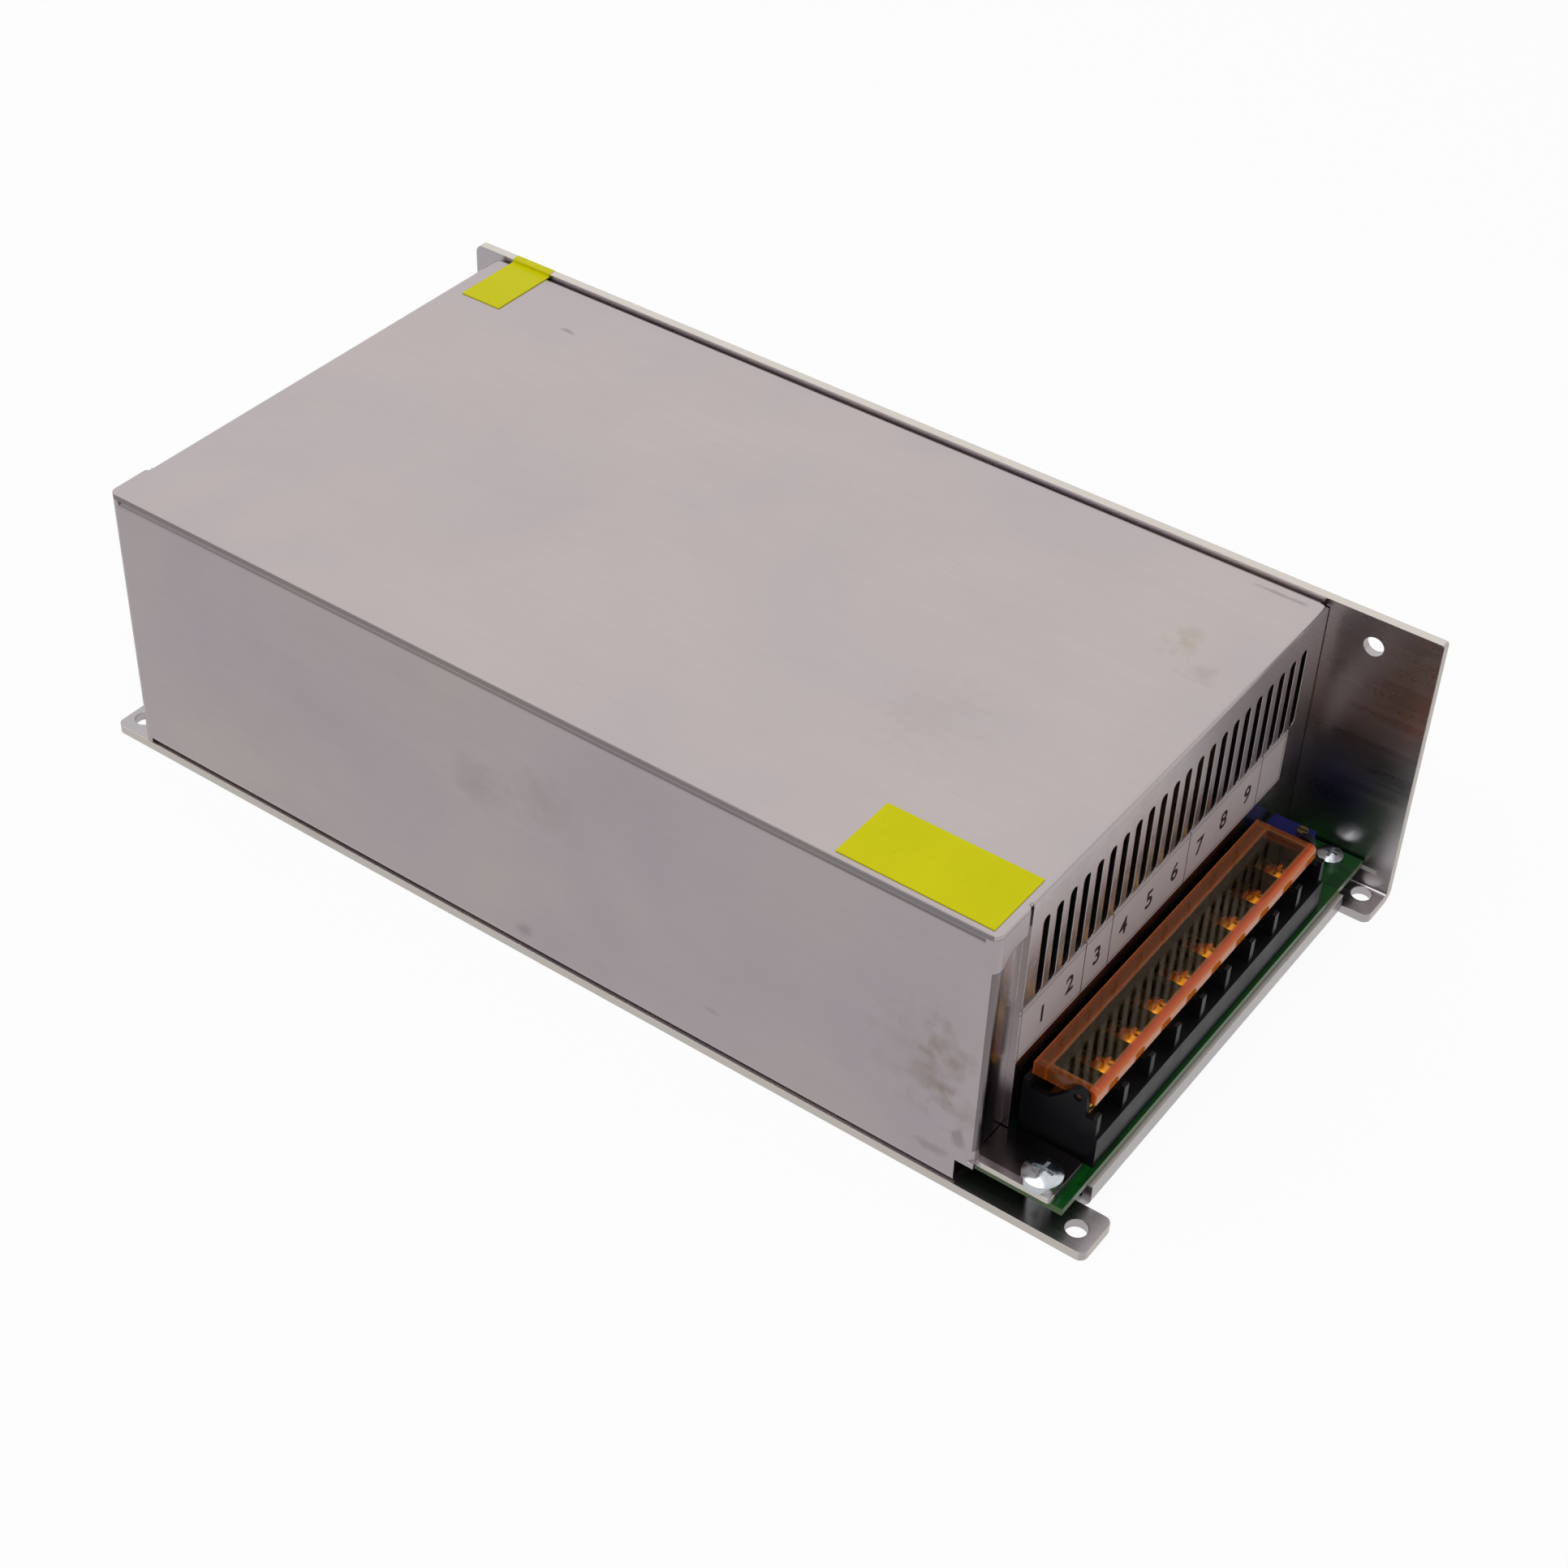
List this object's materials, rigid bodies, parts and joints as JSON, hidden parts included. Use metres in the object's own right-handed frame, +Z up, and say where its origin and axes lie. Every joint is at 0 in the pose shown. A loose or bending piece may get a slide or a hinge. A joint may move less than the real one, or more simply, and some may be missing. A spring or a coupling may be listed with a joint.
{
  "type": "switching power supply",
  "caption": "Sheet-metal switching power supply with vented ends, a cooling fan, screw terminals under a flip lid and corner mounting tabs.",
  "frame": {"origin": "centre of the plan of the whole part, on the plane that the chassis floor rests on", "axes": "+X along the case towards the screw terminals, +Y towards the tall chassis wall, +Z up from the floor to the top cover"},
  "size_m": [0.2488, 0.125, 0.068],
  "materials": {
    "chassis_metal": "brushed mill finish",
    "panel_metal": "brushed mill finish",
    "cover_metal": "brushed mill finish",
    "zinc_steel": "zinc plated",
    "board_green": "solder mask",
    "block_black": "satin moulding",
    "terminal_nickel": "nickel plated",
    "lid_amber": "clear tinted",
    "trimmer_blue": "moulded",
    "brass": "machined",
    "label_grey": "printed film",
    "label_yellow": "printed film",
    "fan_black": "moulded",
    "nylon_white": "moulded",
    "wire_red": "insulation",
    "ferrite": "ground ferrite",
    "tape_yellow": "wound tape",
    "can_blue": "sleeve",
    "can_black": "sleeve",
    "core_green": "coated",
    "core_yellow": "coated",
    "copper": "enamelled copper",
    "chip_black": "epoxy",
    "bar_metal": "extruded",
    "film_yellow": "box capacitor",
    "fuse_glass": "clear",
    "relay_blue": "moulded",
    "spring_metal": "tinned"
  },
  "bodies": {
    "case": {"chassis": "chassis_metal", "side_panel": "panel_metal", "top_cover": "cover_metal", "cover_screws": "zinc_steel", "base_screws": "zinc_steel", "board": "board_green", "board_standoffs": "zinc_steel", "foot_screw": "zinc_steel", "board_screws": "zinc_steel", "terminal_block": "block_black", "terminal_screws": "brass", "terminal_clamps": "terminal_nickel", "trimmer_body": "trimmer_blue", "strip_label": "label_grey", "large_sticker": "label_yellow", "small_sticker": "label_yellow", "fan_frame": "fan_black", "fan_screws": "zinc_steel", "fan_socket": "nylon_white", "fan_lead": "wire_red", "transformer_core": "ferrite", "transformer_winding": "tape_yellow", "bulk_capacitors": "can_blue", "output_capacitors": "can_black", "input_choke_core": "core_green", "input_choke_winding": "copper", "output_choke_core": "core_yellow", "output_choke_winding": "copper", "bridge_rectifier": "chip_black", "heat_bars": "bar_metal", "transistors": "chip_black", "clamp_bars": "spring_metal", "clamp_screws": "zinc_steel", "film_capacitors": "film_yellow", "fuse": "fuse_glass", "fuse_clips": "spring_metal", "relay": "relay_blue", "drive_transformer": "tape_yellow"},
    "lid": {"terminal_lid": "lid_amber"},
    "adjuster": {"trimmer_screw": "brass"},
    "rotor": {"fan_rotor": "fan_black"}
  },
  "joints": [
    {"name": "lid_hinge", "type": "hinge", "parent": "case", "child": "lid", "pos_m": [0.112, -0.00392, 0.0242], "axis": [0, 1, 0], "range_deg": [0, 110]},
    {"name": "trimmer_turn", "type": "hinge", "parent": "case", "child": "adjuster", "pos_m": [0.1079, 0.0483, 0.0175], "axis": [0, 0, 1], "continuous": true},
    {"name": "fan_spin", "type": "hinge", "parent": "case", "child": "rotor", "pos_m": [-0.108, 0, 0.034], "axis": [1, 0, 0], "continuous": true}
  ]
}
